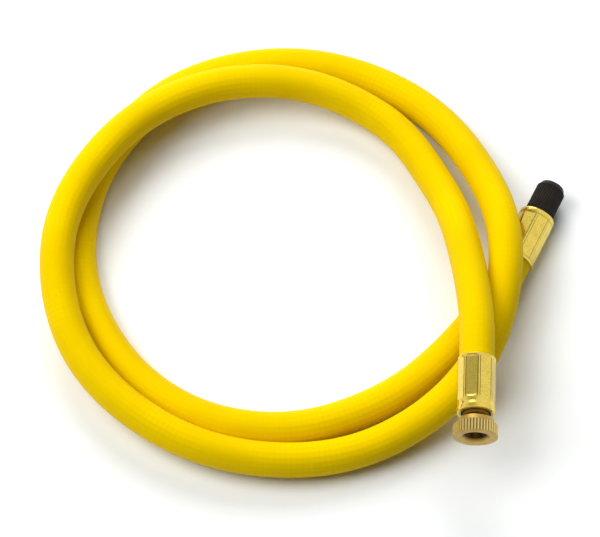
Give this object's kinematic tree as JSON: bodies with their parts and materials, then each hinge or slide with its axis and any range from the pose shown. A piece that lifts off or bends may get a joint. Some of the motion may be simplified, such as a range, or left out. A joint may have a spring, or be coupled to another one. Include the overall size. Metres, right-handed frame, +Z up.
{
  "type": "tyre inflation extension hose",
  "caption": "Short reinforced rubber air hose in two loose turns, with a swivelling knurled nut end for a tyre valve and a capped, threaded valve stem end.",
  "frame": {"origin": "centre of the underside of the bounding box, on the surface that the hose lies on", "axes": "+X to the right as the hose is seen with the open nut end towards the viewer and the capped end to the right, +Y away from the viewer, +Z up"},
  "size_m": [0.184, 0.1696, 0.035],
  "materials": {
    "hose_yellow": "satin",
    "textile_braid": "matte",
    "black_rubber": "matte",
    "bright_brass": "polished",
    "dull_brass": "satin",
    "seal_rubber": "matte",
    "cap_plastic": "satin",
    "spring_steel": "satin"
  },
  "bodies": {
    "hose": {"hose_cover": "hose_yellow", "hose_braid": "textile_braid", "hose_liner": "black_rubber", "nut_ferrule": "bright_brass", "nut_tail": "dull_brass", "nut_washer": "seal_rubber", "core_depressor": "dull_brass", "valve_ferrule": "bright_brass", "valve_stem": "bright_brass", "core_plug": "bright_brass", "core_barrel": "bright_brass", "core_gasket": "seal_rubber", "core_spring": "spring_steel"},
    "nut": {"swivel_nut": "dull_brass"},
    "cap_seal": {"cap_seal": "black_rubber"},
    "cap": {"valve_cap": "cap_plastic"},
    "pin": {"core_pin": "bright_brass", "core_cup": "bright_brass", "core_seal": "black_rubber"}
  },
  "joints": [
    {"name": "nut_spin", "type": "hinge", "parent": "hose", "child": "nut", "pos_m": [0.05701, -0.0705, 0.02754], "axis": [-0.0419, -0.9988, -0.0262], "continuous": true},
    {"name": "cap_lift", "type": "slide", "parent": "hose", "child": "cap_seal", "axis": [0.4384, 0.8988, 0], "range_m": [0, 0.00953]},
    {"name": "cap_turn", "type": "hinge", "parent": "cap_seal", "child": "cap", "pos_m": [0.08409, 0.01886, 0.00672], "axis": [0.4384, 0.8988, 0], "range_deg": [0, 4320]},
    {"name": "pin_press", "type": "slide", "parent": "hose", "child": "pin", "axis": [-0.4384, -0.8988, 0], "range_m": [0, 0.0015], "stiffness_N_per_m": 1000, "springref_m": -0.0015, "deforming": ["core_spring"]}
  ],
  "couplings": [
    {"joint": "cap_turn", "follows": "cap_lift", "rad_per_m": 7913.3}
  ]
}
